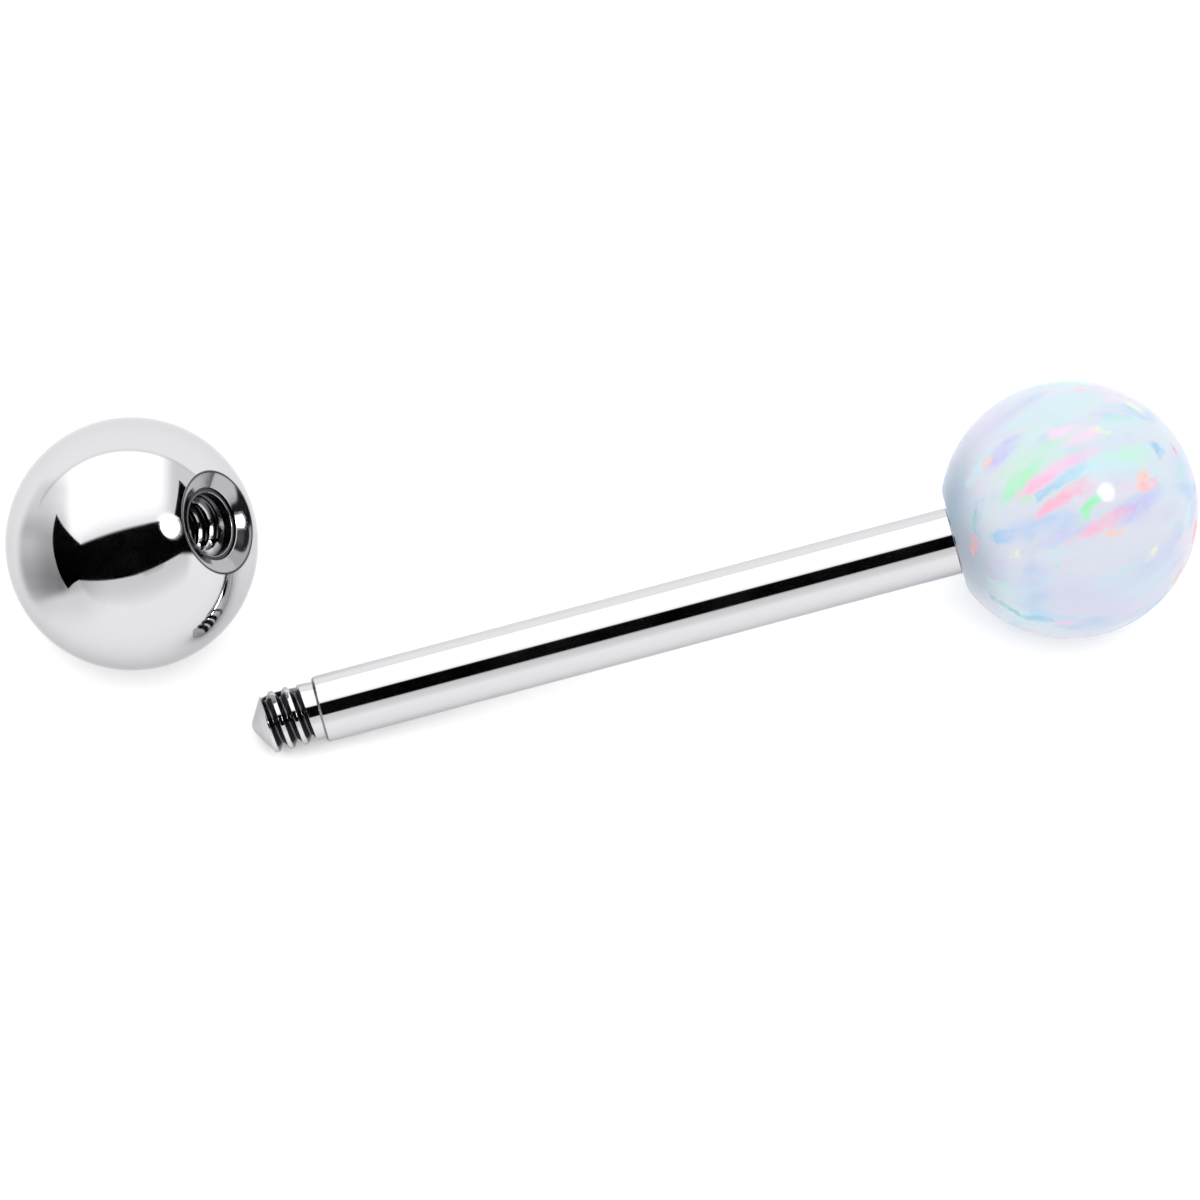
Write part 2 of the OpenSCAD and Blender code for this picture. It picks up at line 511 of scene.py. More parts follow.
def make_piece(name, bands, place, material, node):
    """Joins the bands into one closed mesh, puts it in its place under the root body and hides
    the imported node that it replaces.
    """
    points = np.concatenate([band[0].reshape(-1, 3) for band in bands])
    normals = np.concatenate([band[1].reshape(-1, 3) for band in bands])
    finished = [band if len(band) == 3 else with_cut_and_shade(band, 0) for band in bands]
    cut_and_shade = np.concatenate([band[2].ravel() for band in finished])
    cubes = np.round(points / CUBE + CUBE_SHIFT).astype(np.int64)
    _, kept, merged = np.unique(cubes, axis=0, return_index=True, return_inverse=True)
    merged = merged.reshape(-1)
    points = points[kept]
    # The most cut finish and painted shade of the points that became one
    most_cut_and_shade = np.zeros(len(kept))
    np.maximum.at(most_cut_and_shade, merged, cut_and_shade)
    faces, face_normals = [], []
    for quad in grid_corners(bands):
        face, shade = outward_face(quad, merged, points, normals)
        if face:
            faces.append(face)
            face_normals.extend(shade)
    turn = np.array(place.to_3x3())
    points = points @ turn.T + np.array(place.translation)
    mesh = bpy.data.meshes.new(name)
    mesh.from_pydata(points.tolist(), [], faces)
    mesh.attributes.new("cut_and_shade", "FLOAT", "POINT").data.foreach_set("value", most_cut_and_shade)
    mesh.polygons.foreach_set("use_smooth", [True] * len(mesh.polygons))
    mesh.normals_split_custom_set((np.array(face_normals) @ turn.T).tolist())
    mesh.materials.append(material)
    piece = bpy.data.objects.new(name, mesh)
    bpy.context.scene.collection.objects.link(piece)
    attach(piece, "root")
    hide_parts(node)


def barbell_place():
    """Where the barbell lies. Its own axis runs from the middle of the opal to the tip."""
    lean = math.asin(-shaft_mount["axis"][2])
    return Matrix.Translation(opal_middle) @ Matrix.Rotation(-math.pi / 2 - lean, 4, "Y")


def steel_ball_place():
    """Where the steel ball lies. Its own axis runs from its middle out of its hole."""
    axis = hole_mount["axis"]
    turn = Matrix.Rotation(math.atan2(axis[1], axis[0]), 4, "Z")
    tilt = Matrix.Rotation(math.acos(axis[2]), 4, "Y")
    return Matrix.Translation(steel_middle) @ turn @ tilt


def view_axes(azimuth, elevation):
    """The directions to the right and up of somebody who looks from there, and back to them."""
    back = Vector(
        (
            math.cos(elevation) * math.sin(azimuth),
            -math.cos(elevation) * math.cos(azimuth),
            math.sin(elevation),
        )
    )
    right = Vector((math.cos(azimuth), math.sin(azimuth), 0))
    return right, back.cross(right), back


# Materials

# Noises: scale, detail and roughness
HAZE_NOISE = (700.0, 4.0, 0.6)
RELIEF_NOISE = (9000.0, 3.0, 0.7)
JITTER_NOISE = (12.0, 3.0, 0.6)
# Values of the first noise between which the steel's polish grows hazy
HAZE_RANGE = (0.4, 0.75)
# Strength and depth of the steel's fine relief
RELIEF_STRENGTH = 0.02
RELIEF_DEPTH = 0.002 * MM
# Detail, roughness and distortion of the noise that is drawn out into streaks, how far its
# seed moves it along each axis, and how far it is tipped
STREAK_NOISE = (2.5, 0.5, 0.35)
SEED_STEPS = (1, 2.3, -1.7)
STREAK_TIP = 0.25
# The largest value of a colour as it looks on a screen
SCREEN_WHITE = 255
# Angle in the chart, in degrees, along which the opal's colours are drawn out
OPAL_SLANT = 28
# Streaks that tear the flecks' edges: seed, scale and stretch. The next two values are how far
# they and the jitter move an edge, in radii of the ball
TEARS = (3.3, 7.0, 3.0)
TEAR_REACH = 0.55
JITTER_REACH = 0.07
# Least square of how far a spot of the chart faces the viewer
OPAL_LEAST_FACING = 0.02
# Depth of a patch of painted shade, and how near its middle it is at its deepest
SHADE_DEPTH = 0.9
SHADE_FULL = 0.95
# Size of a fleck against its charted size, its depth, and how near its middle it is full
FLECK_LARGER = 1.15
FLECK_DEPTH = 0.3
FLECK_FULL = 0.62
# Depths in the chart between which the loose flecks come in
LOOSE_DEPTHS = (0.35, -0.05)
# Loose flecks: scale, stretch, width of their edge and most
LOOSE_SCALE = 4.2
LOOSE_STRETCH = 3.2
LOOSE_EDGE = 0.07
LOOSE_MOST = 0.8
# Fine streaks that thin the flecks out: seed, scale and stretch, the values of the noise that
# they work between, and what they leave of a fleck
STRANDS = (51.0, 11.0, 3.4)
STRAND_RANGE = (0.36, 0.6)
STRAND_LEAVES = (0.45, 1.0)

# Colours in the opal, and the colour of its painted shade, as they look on a screen
OPAL_TONES = {
    "cyan": (203, 236, 243),
    "sky": (184, 211, 244),
    "mint": (198, 239, 223),
    "lavender": (213, 211, 237),
    "blush": (244, 218, 238),
    "pink": (250, 198, 233),
    "rose": (253, 190, 213),
    "salmon": (252, 206, 190),
    "green": (160, 246, 188),
    "leaf": (192, 240, 200),
    "blue": (150, 202, 238),
    "violet": (194, 190, 246),
    "yellow": (238, 248, 206),
    "teal": (140, 206, 208),
    "coral": (255, 168, 172),
    "shade": (132, 156, 170),
}

# Clouds: seed, scale, stretch, slant, low, high, most, tone
OPAL_CLOUDS = (
    (1.7, 0.9, 2.2, 24, 0.42, 0.70, 0.55, "cyan"),
    (4.1, 1.1, 2.4, 30, 0.48, 0.70, 0.50, "sky"),
    (7.9, 1.3, 2.8, 26, 0.50, 0.70, 0.50, "mint"),
    (11.3, 1.0, 2.0, 20, 0.48, 0.70, 0.60, "lavender"),
    (15.8, 2.4, 3.0, 30, 0.54, 0.72, 0.45, "blush"),
    (19.4, 2.8, 3.8, 28, 0.56, 0.72, 0.40, "blue"),
    (44.6, 4.5, 4.5, 28, 0.52, 0.70, 0.40, "cyan"),
    (47.2, 5.5, 5.0, 28, 0.52, 0.70, 0.35, "lavender"),
)

# Patches of painted shade, deepest next to the shaft: across, up, angle, half length, half
# width, most
OPAL_PAINTED_SHADES = (
    (-0.93, -0.08, 84, 0.85, 0.52, 0.72),
    (-0.72, -0.42, 70, 0.50, 0.40, 0.45),
)

# Flecks away from the charted side: seed, threshold, tone
OPAL_LOOSE_FLECKS = (
    (23.0, 0.61, "pink"),
    (27.5, 0.61, "green"),
    (31.2, 0.63, "rose"),
    (35.9, 0.62, "blue"),
    (39.1, 0.65, "salmon"),
)

# Flecks on the side that the photo shows, in radii from the middle: across, up, angle,
# half length, half width, tone, most
OPAL_FLECKS = (
    (-0.56, 0.42, 38, 0.26, 0.10, "violet", 0.75),
    (-0.72, 0.30, 44, 0.20, 0.08, "cyan", 0.7),
    (-0.66, 0.35, 26, 0.09, 0.05, "salmon", 0.9),
    (-0.30, 0.43, 33, 0.42, 0.06, "leaf", 0.5),
    (-0.42, 0.20, 38, 0.30, 0.085, "green", 0.75),
    (-0.18, 0.34, 30, 0.34, 0.05, "leaf", 0.5),
    (-0.14, 0.28, 34, 0.42, 0.085, "pink", 0.95),
    (-0.30, 0.16, 30, 0.22, 0.06, "rose", 0.6),
    (0.09, 0.40, 24, 0.20, 0.06, "pink", 0.8),
    (0.02, 0.28, 36, 0.20, 0.05, "blue", 0.8),
    (-0.16, 0.15, 36, 0.16, 0.04, "blue", 0.7),
    (0.22, 0.34, 20, 0.34, 0.12, "cyan", 0.8),
    (-0.10, 0.06, 32, 0.28, 0.055, "rose", 0.95),
    (0.03, 0.17, 38, 0.16, 0.05, "rose", 0.9),
    (-0.36, 0.07, 20, 0.08, 0.05, "green", 0.6),
    (0.16, 0.02, 50, 0.17, 0.06, "green", 0.95),
    (0.22, 0.10, 30, 0.13, 0.05, "green", 0.7),
    (0.24, -0.12, 24, 0.26, 0.065, "rose", 0.95),
    (0.36, -0.03, 20, 0.16, 0.05, "rose", 0.7),
    (0.35, -0.17, 8, 0.11, 0.035, "salmon", 1.0),
    (0.50, 0.02, 24, 0.30, 0.10, "violet", 0.6),
    (0.57, 0.23, -25, 0.10, 0.085, "salmon", 1.0),
    (0.61, 0.21, -30, 0.08, 0.05, "rose", 0.7),
    (0.48, 0.42, 40, 0.16, 0.12, "mint", 0.9),
    (0.30, 0.42, 10, 0.20, 0.08, "mint", 0.6),
    (0.66, 0.46, 0, 0.11, 0.09, "blue", 0.8),
    (0.18, 0.60, 2, 0.10, 0.045, "yellow", 1.0),
    (-0.02, 0.58, 4, 0.25, 0.12, "blush", 1.0),
    (0.34, 0.72, 20, 0.20, 0.05, "sky", 0.8),
    (0.48, 0.80, -35, 0.14, 0.05, "yellow", 0.9),
    (0.40, 0.70, 20, 0.26, 0.06, "mint", 0.6),
    (0.10, 0.93, 14, 0.09, 0.035, "salmon", 0.9),
    (-0.30, 0.73, 16, 0.46, 0.06, "cyan", 0.5),
    (0.80, 0.47, -35, 0.06, 0.035, "coral", 0.9),
    (0.86, 0.30, 70, 0.035, 0.03, "green", 0.9),
    (-0.53, -0.20, 16, 0.13, 0.06, "blue", 0.85),
    (-0.28, -0.14, 14, 0.40, 0.10, "sky", 0.75),
    (-0.10, -0.22, 30, 0.22, 0.07, "violet", 0.55),
    (-0.73, -0.10, 86, 0.17, 0.05, "teal", 0.8),
    (-0.76, -0.28, 70, 0.12, 0.05, "coral", 0.6),
    (-0.44, -0.36, 20, 0.05, 0.03, "yellow", 0.7),
    (-0.14, -0.45, 10, 0.04, 0.03, "green", 0.6),
    (0.40, -0.48, 20, 0.06, 0.03, "mint", 0.7),
    (0.62, -0.34, 20, 0.08, 0.035, "yellow", 0.8),
    (0.97, -0.14, 75, 0.10, 0.06, "coral", 0.95),
    (0.84, -0.50, 60, 0.12, 0.06, "coral", 0.85),
    (0.82, -0.18, 50, 0.16, 0.08, "sky", 0.6),
    (0.70, -0.05, 10, 0.30, 0.10, "lavender", 0.5),
    (-0.48, -0.76, -28, 0.30, 0.05, "teal", 0.75),
    (-0.20, -0.85, 6, 0.16, 0.04, "blue", 0.8),
    (-0.04, -0.88, 18, 0.08, 0.035, "pink", 0.8),
    (-0.50, -0.62, -20, 0.20, 0.05, "mint", 0.5),
)


def add_node(tree, kind, inputs=None, **settings):
    """Adds a shader node. An input is given a value or another node's output."""
    made = tree.nodes.new(kind)
    for setting, value in settings.items():
        setattr(made, setting, value)
    for socket, value in (inputs or {}).items():
        if isinstance(value, bpy.types.NodeSocket):
            tree.links.new(value, made.inputs[socket])
        else:
            made.inputs[socket].default_value = value
    return made


def maths(tree, operation, *values):
    """The result of an operation on numbers or on other nodes' outputs."""
    inputs = dict(enumerate(values))
    return add_node(tree, "ShaderNodeMath", inputs, operation=operation).outputs[0]


def vector_maths(tree, operation, inputs):
    """The result of an operation on vectors."""
    return add_node(tree, "ShaderNodeVectorMath", inputs, operation=operation).outputs[0]


def noise(tree, vector, scale, detail, roughness, distortion=0.0):
    """The outputs of a noise, its value and its colour."""
    inputs = {
        "Vector": vector,
        "Scale": scale,
        "Detail": detail,
        "Roughness": roughness,
        "Distortion": distortion,
    }
    return add_node(tree, "ShaderNodeTexNoise", inputs).outputs


def ranged(tree, value, low, high, least, most, change="LINEAR"):
    """The least where the value is low or less, rising to the most where it is high."""
    inputs = {
        "Value": value,
        "From Min": low,
        "From Max": high,
        "To Min": least,
        "To Max": most,
    }
    made = add_node(tree, "ShaderNodeMapRange", inputs, interpolation_type=change)
    return made.outputs["Result"]


def graded(tree, value, low, high, most):
    """0 where the value is low or less, rising smoothly to the most where it is high."""
    return ranged(tree, value, low, high, 0.0, most, "SMOOTHSTEP")


def tinted(tree, below, colour, amount):
    """The colour laid over what is below, as far as amount says."""
    mixed = add_node(
        tree, "ShaderNodeMix", {"Factor": amount}, data_type="RGBA", blend_type="MIX"
    )
    colours = [socket for socket in mixed.inputs if socket.type == "RGBA"]
    if isinstance(below, bpy.types.NodeSocket):
        tree.links.new(below, colours[0])
    else:
        colours[0].default_value = below
    colours[1].default_value = colour
    return [socket for socket in mixed.outputs if socket.type == "RGBA"][0]


def empty_material(name):
    """A material with nothing in it but its output."""
    material = bpy.data.materials.new(name)
    material.use_nodes = True
    tree = material.node_tree
    tree.nodes.clear()
    return material, tree, tree.nodes.new("ShaderNodeOutputMaterial")


def add_surface(tree, output, inputs):
    """Gives the material its main shader."""
    shader = add_node(tree, "ShaderNodeBsdfPrincipled", inputs)
    tree.links.new(shader.outputs["BSDF"], output.inputs["Surface"])


def polished_steel(finish):
    """Steel polished to a mirror, rougher and darker where a tool has cut it; the darkening is
    painted shade, most in the grooves and in the hole.
    """
    material = bpy.data.materials.get("Polished steel")
    if material:
        return material
    material, tree, output = empty_material("Polished steel")
    place = add_node(tree, "ShaderNodeTexCoord").outputs["Object"]
    cut_and_shade = add_node(tree, "ShaderNodeAttribute", attribute_name="cut_and_shade").outputs["Fac"]
    haze = noise(tree, place, *HAZE_NOISE)["Fac"]
    fine = noise(tree, place, *RELIEF_NOISE)["Fac"]
    polish = finish.roughness
    hazy = ranged(tree, haze, *HAZE_RANGE, polish, polish + finish.haze)
    relief = add_node(
        tree,
        "ShaderNodeBump",
        {"Height": fine, "Strength": RELIEF_STRENGTH, "Distance": RELIEF_DEPTH},
    )
    # The base colour is darkened by painted shade and by the cut finish, which is also rougher
    look = {
        "Base Color": tinted(tree, (*finish.colour, 1), (*finish.cut_and_shade_colour, 1), cut_and_shade),
        "Metallic": 1.0,
        "Specular Tint": (*finish.edge_tint, 1),
        "Roughness": maths(tree, "MULTIPLY_ADD", cut_and_shade, finish.cut_roughness, hazy),
        "Normal": relief.outputs["Normal"],
    }
    add_surface(tree, output, look)
    return material


def as_light(colour, dim):
    """A colour given as it looks on a screen, as the amounts of light that shaders take."""
    light = Color([part / SCREEN_WHITE for part in colour]).from_srgb_to_scene_linear()
    return (*(part * dim for part in light), 1.0)


def placed_in(tree, vector, middle, axes, sizes):
    """The vector measured from a middle, along three axes and in units of their sizes."""
    turn = Matrix(axes).transposed().to_euler()
    return add_node(
        tree,
        "ShaderNodeMapping",
        {"Vector": vector, "Location": middle, "Rotation": turn, "Scale": sizes},
        vector_type="TEXTURE",
    ).outputs["Vector"]


def nearness(tree, chart, across, up, angle, length, width, depth):
    """How near the stone is to a spot of its chart, from 0 at the spot's edge to 1 inside.

    The angle, in degrees, is the way that the spot's length runs in the chart.
    """
    out = Vector((across, up, math.sqrt(max(OPAL_LEAST_FACING, 1 - across * across - up * up))))
    lean = Vector((math.cos(math.radians(angle)), math.sin(math.radians(angle)), 0))
    run = (lean - out * lean.dot(out)).normalized()
    spot = placed_in(tree, chart, out, (run, out.cross(run), out), (length, width, depth))
    made = add_node(tree, "ShaderNodeTexGradient", {"Vector": spot}, gradient_type="SPHERICAL")
    return made.outputs["Fac"]


def streaks(tree, chart, seed, scale, stretch, slant=OPAL_SLANT):
    """Noise drawn out into streaks that rise to the right in the chart."""
    drawn = add_node(
        tree,
        "ShaderNodeMapping",
        {
            "Vector": chart,
            "Location": [seed * step for step in SEED_STEPS],
            "Rotation": (0.0, STREAK_TIP, math.radians(slant)),
            "Scale": (stretch, 1.0, 1.0),
        },
        vector_type="TEXTURE",
    )
    return noise(tree, drawn.outputs["Vector"], scale, *STREAK_NOISE)["Fac"]


def torn_chart(tree, chart):
    """A torn copy of the chart, so that no fleck has a smooth edge."""
    slant = math.radians(OPAL_SLANT)
    along = (math.cos(slant), math.sin(slant), 0.0)
    feathers = streaks(tree, chart, *TEARS)
    reach = maths(tree, "MULTIPLY_ADD", feathers, TEAR_REACH, -TEAR_REACH / 2)
    pulled = vector_maths(tree, "SCALE", {0: along, "Scale": reach})
    ragged = noise(tree, chart, *JITTER_NOISE)["Color"]
    back = [-JITTER_REACH / 2] * 3
    jitter = vector_maths(tree, "MULTIPLY_ADD", {0: ragged, 1: [JITTER_REACH] * 3, 2: back})
    shifted = vector_maths(tree, "ADD", {0: chart, 1: pulled})
    return vector_maths(tree, "ADD", {0: shifted, 1: jitter})


def milky_opal(sizes):
    """Milky stone with soft clouds and long flecks of colour under a clear polish."""
    material, tree, output = empty_material("Milky opal")
    place = add_node(tree, "ShaderNodeTexCoord").outputs["Object"]
    axes = view_axes(math.radians(VIEW_AZIMUTH), math.radians(VIEW_ELEVATION))
    chart = placed_in(tree, place, opal_middle, axes, (sizes.diameter / 2,) * 3)
    torn = torn_chart(tree, chart)
    tones = {name: as_light(tone, sizes.brightness) for name, tone in OPAL_TONES.items()}
    colour = (*(sizes.brightness * part for part in sizes.body_colour), 1)

    for seed, scale, stretch, slant, low, high, most, tone in OPAL_CLOUDS:
        cloud = streaks(tree, chart, seed, scale, stretch, slant)
        colour = tinted(tree, colour, tones[tone], graded(tree, cloud, low, high, most))

    # Painted shade on the side next to the shaft
    for across, up, angle, length, width, most in OPAL_PAINTED_SHADES:
        near = nearness(tree, chart, across, up, angle, length, width, SHADE_DEPTH)
        colour = tinted(tree, colour, tones["shade"], graded(tree, near, 0.0, SHADE_FULL, most))

    # Small flecks everywhere but on the charted side
    depth = add_node(tree, "ShaderNodeSeparateXYZ", {"Vector": chart}).outputs["Z"]
    elsewhere = graded(tree, depth, *LOOSE_DEPTHS, 1.0)
    for seed, low, tone in OPAL_LOOSE_FLECKS:
        loose = streaks(tree, torn, seed, LOOSE_SCALE, LOOSE_STRETCH)
        fleck = graded(tree, loose, low, low + LOOSE_EDGE, LOOSE_MOST)
        amount = maths(tree, "MULTIPLY", fleck, elsewhere)
        colour = tinted(tree, colour, tones[tone], amount)

    # Charted flecks, thinned out here and there by fine streaks
    strands = streaks(tree, chart, *STRANDS)
    strength = ranged(tree, strands, *STRAND_RANGE, *STRAND_LEAVES)
    for across, up, angle, length, width, tone, most in OPAL_FLECKS:
        half_sizes = (FLECK_LARGER * length, FLECK_LARGER * width, FLECK_DEPTH)
        near = nearness(tree, torn, across, up, angle, *half_sizes)
        fleck = graded(tree, near, 0.0, FLECK_FULL, most)
        amount = maths(tree, "MULTIPLY", fleck, strength)
        colour = tinted(tree, colour, tones[tone], amount)

    look = {
        "Base Color": colour,
        "Roughness": 0.4,
        "Specular IOR Level": 0.0,
        "Subsurface Weight": 0.25,
        "Subsurface Scale": 0.25 * MM,
        "Coat Weight": 0.28,
        "Coat IOR": 1.45,
        "Coat Roughness": 0.03,
    }
    add_surface(tree, output, look)
    return material


# The room around the parts. A place in it is given as the steel ball mirrors it in the picture,
# in radii of the ball from its middle. A pair of numbers is where a change starts and ends

# Least square of how far a spot of the ball faces the camera
STEEL_LEAST_FACING = 0.01
# Share of the way to the floor that a card may reach
ABOVE_FLOOR = 0.9
# Middle of the arc that bounds the roof light, its soft edge, and the grey line along it
ARC_MIDDLE = (-0.02, -0.06)
ARC_EDGE = (0.765, 0.80)
ARC_LINE = 0.785
ARC_LINE_WIDTH = 0.009
ARC_LINE_GREY = 0.24
# Upper edge of the dark card, as values over places across
DARK_TOP = ((-0.388, -0.25, -0.15, 0.05, 0.15, 0.3), (-0.012, 0.06, 0.09, 0.14, 0.165, 0.2))
# The roof light: its sides and its foot, and its brightness, which rises from its foot
ROOF_LEFT = (-0.70, -0.42)
ROOF_RIGHT = (0.18, 0.35)
ROOF_FOOT = (-0.1, 0)
ROOF_RISE = (0, 0.2)
ROOF_LEAST = 0.8
# The greyer wall beside the roof light
GREY_LEFT = (0.2, 0.33)
GREY_FOOT = (0.08, 0.2)
WALL_GREY = 0.24
# The dark place behind the lamp
LAMP_LEFT = (0.1, 0.14)
LAMP_RIGHT = (0.58, 0.62)
LAMP_TOP = (0, 0.02)
LAMP_FOOT = (-0.1, -0.06)

# What the veil on the left lets through, as values over heights, and more of it far out
VEIL_LEAVES = (
    (-0.45, -0.35, -0.25, -0.15, -0.05, 0.05, 0.15, 0.25, 0.35),
    (0.62, 0.38, 0.34, 0.38, 0.45, 0.46, 0.58, 0.74, 0.80),
)
VEIL_THINNER = 0.2
THINNER_LEFT = (-0.82, -0.64)
THINNER_TOP = (0, 0.14)
# The veil's outer edge, which bulges on the left
VEIL_EDGE = 0.79
VEIL_BULGE = 0.065
BULGE_LEFT = (-0.7, -0.55)
EDGE_INSIDE = (-0.04, 0.03)
EDGE_BEYOND = (-0.04, 0.06)
# The veil's lower end, which slopes, and its right and upper sides
VEIL_END = -0.38
END_MIDDLE = -0.5
END_SLOPE = 0.3
END_SOFT = (-0.06, 0.04)
VEIL_RIGHT = (-0.55, -0.44)
VEIL_TOP = (0.4, 0.6)
# The faint shade below the veil, and the darker tip between them
BELOW_SHADE = 0.2
BELOW_FOOT = (-0.72, -0.42)
BELOW_RIGHT = (-0.42, -0.14)
BELOW_TOP = (-0.3, 0.1)
TIP_SHADE = 0.34
TIP_MIDDLE = -0.47
TIP_WIDTH = 0.11
TIP_FOOT = (-0.43, -0.33)
TIP_TOP = (-0.28, -0.2)
# Points of the veil's grid across and up
VEIL_ACROSS = (-0.96, -0.12, 85)
VEIL_UP = (-0.76, 0.62, 139)

# Outlines of the dark side card and the dark strip
DARK_SIDE = (
    (-0.583, 0.228),
    (-0.53, 0.135),
    (-0.46, 0.055),
    (-0.388, -0.012),
    (-0.36, -0.15),
    (-0.403, -0.285),
    (-0.45, -0.315),
    (-0.493, -0.357),
    (-0.55, -0.26),
    (-0.59, -0.14),
    (-0.613, 0.0),
    (-0.607, 0.12),
)
DARK_STRIP = (
    (0.344, 0.222),
    (0.347, 0.247),
    (0.357, 0.31),
    (0.366, 0.367),
    (0.373, 0.43),
    (0.376, 0.5),
    (0.418, 0.457),
    (0.47, 0.40),
    (0.47, 0.25),
    (0.455, 0.12),
    (0.44, 0.07),
    (0.42, 0.09),
    (0.408, 0.15),
    (0.385, 0.195),
)
# How far away the veil and these two cards are at most
VEIL_REACH = 26 * MM
SIDE_REACH = 30 * MM
STRIP_REACH = 32 * MM

# The dark card close above the parts. Its grid is laid out along the shaft and across it, and
# its measures are lengths before the card is made larger
CARD_HEIGHT = 40 * MM
CARD_UNIT = 1.455 * MM
CARD_SLANT = (0.966, 0.257)
CARD_ALONG = (-50, 64, 229)
CARD_ACROSS = (-50, 12, 187)
# Its lower edge, as heights over places along the shaft, and its slanting left end
CARD_LOW = ((-40, -2, 17, 34, 46, 60), (-15.8, -14.9, -13.2, -12.3, -9, -6))
LOW_SOFT = (-0.7, 0.5)
CARD_LEFT = -30.6
LEFT_SLOPE = 0.7
LEFT_SOFT = (-0.8, 0.4)
CARD_RIGHT = (57, 61)
# Its upper edge, most of which is sharp
TOP_SHARP = 0.88
TOP_SHARP_EDGE = (5.6, 7.4)
TOP_SOFT_EDGE = (6, 12)
# The two round openings in it: their middles and half sizes, and their soft edge
CARD_OPENINGS = ((24.4, 3.4, 9.3, 8.2), (37, 0.6, 8.8, 6.6))
OPENING_EDGE = (0.86, 1.04)
# The faint tails below it: how solid each is, and its foot, left and right sides
WIDE_TAIL = (0.27, (-34, 0), (-50, -36), (30, 42))
SHAFT_TAIL = (0.5, (-7, 0.5), (-1, 3), (12, 17))

# The tent's radius, and its grid's steps around it and from its foot to its top
TENT_RADIUS = 320 * MM
TENT_AROUND = 360
TENT_UP = 180
# The lamp: the way to it, right, up and back, its distance and half its spread. Its rings go
# out to twice that, and its light is a full core with a soft halo
LAMP_AIM = (0.573, 0.243, 0.783)
LAMP_DISTANCE = 300 * MM
LAMP_SPREAD = math.radians(9)
LAMP_RINGS = 41
LAMP_SPOKES = 60
LAMP_END = 2
LAMP_FADE = (1.6, 2)
CORE_FLAT = 0.45
CORE_SOFT = 0.28
HALO = 0.48
HALO_FLAT = 0.1
HALO_SOFT = 0.6

# Half the width of the floor, and how light the lowest and highest places of the sky are
FLOOR_HALF = 1.5
SKY_SHARES = (0.6, 1.2)
# The camera's sensor, in millimetres, and its nearest and farthest sight
SENSOR_WIDTH = 36
NEAREST = 0.01
FARTHEST = 20


def camera_axes(studio):
    """The directions to the right and up in the picture, and back towards the camera."""
    return view_axes(studio.camera_azimuth, studio.camera_elevation)


def mirrored(studio, across, up):
    """A spot of the steel ball and the direction it mirrors."""
    right, above, back = camera_axes(studio)
    facing = math.sqrt(max(1 - across * across - up * up, STEEL_LEAST_FACING))
    out = right * across + above * up + back * facing
    spot = steel_middle + out * steel_diameter / 2
    return spot, out * 2 * facing - back


def mirrored_corners(studio, spots, reach):
    """Corners of a card that the steel ball shows at these spots, at most so far away."""
    corners = []
    for across, up in spots:
        spot, direction = mirrored(studio, across, up)
        room = reach
        if direction.z < 0:
            room = min(reach, ABOVE_FLOOR * spot.z / -direction.z)
        corners.append(spot + direction * room)
    return corners


def grid_faces(rows, columns):
    """The faces of a grid of points that are listed row by row."""
    return [
        [i, i + 1, i + 1 + columns, i + columns]
        for i in range((rows - 1) * columns)
        if (i + 1) % columns
    ]


def flat_grid(columns, rows):
    """The two coordinates of a grid's points, row by row."""
    return (grid.ravel() for grid in np.meshgrid(columns, rows))


def link_stage(name, mesh, material):
    """Puts a mesh that belongs to the room into the scene."""
    mesh.materials.append(material)
    made = bpy.data.objects.new(name, mesh)
    bpy.context.scene.collection.objects.link(made)
    return made


def card(name, points, faces, strength=0.0, cover=None, glow=None):
    """A card or light that only reflections show.

    Cover is how solid each point is, and glow how bright it is.
    """
    mesh = bpy.data.meshes.new(name)
    mesh.from_pydata([tuple(point) for point in points], [], faces)
    material, tree, output = empty_material(name)
    light = add_node(tree, "ShaderNodeEmission", {"Strength": strength})
    surface = light.outputs[0]
    if glow is not None:
        mesh.attributes.new("glow", "FLOAT", "POINT").data.foreach_set("value", glow)
        bright = add_node(tree, "ShaderNodeAttribute", attribute_name="glow")
        tree.links.new(bright.outputs["Fac"], light.inputs["Strength"])
    if cover is not None:
        mesh.attributes.new("cover", "FLOAT", "POINT").data.foreach_set("value", cover)
        solid = add_node(tree, "ShaderNodeAttribute", attribute_name="cover").outputs["Fac"]
        clear = add_node(tree, "ShaderNodeBsdfTransparent").outputs[0]
        mixed = add_node(tree, "ShaderNodeMixShader", {0: solid, 1: clear, 2: surface})
        surface = mixed.outputs[0]
    tree.links.new(surface, output.inputs["Surface"])
    material.cycles.emission_sampling = "NONE"
    made = link_stage(name, mesh, material)
    made.visible_camera = False
    made.visible_diffuse = False
    made.visible_shadow = False
    made.visible_transmission = False


def bell(value, middle, width):
    """1 at the middle, falling smoothly to 0 on both sides of it."""
    return np.exp(-(((value - middle) / width) ** 2))


def arc_distance(x, y):
    """Distance of the ball's spots from the middle of the arc that bounds the roof light."""
    return np.hypot(x - ARC_MIDDLE[0], y - ARC_MIDDLE[1])


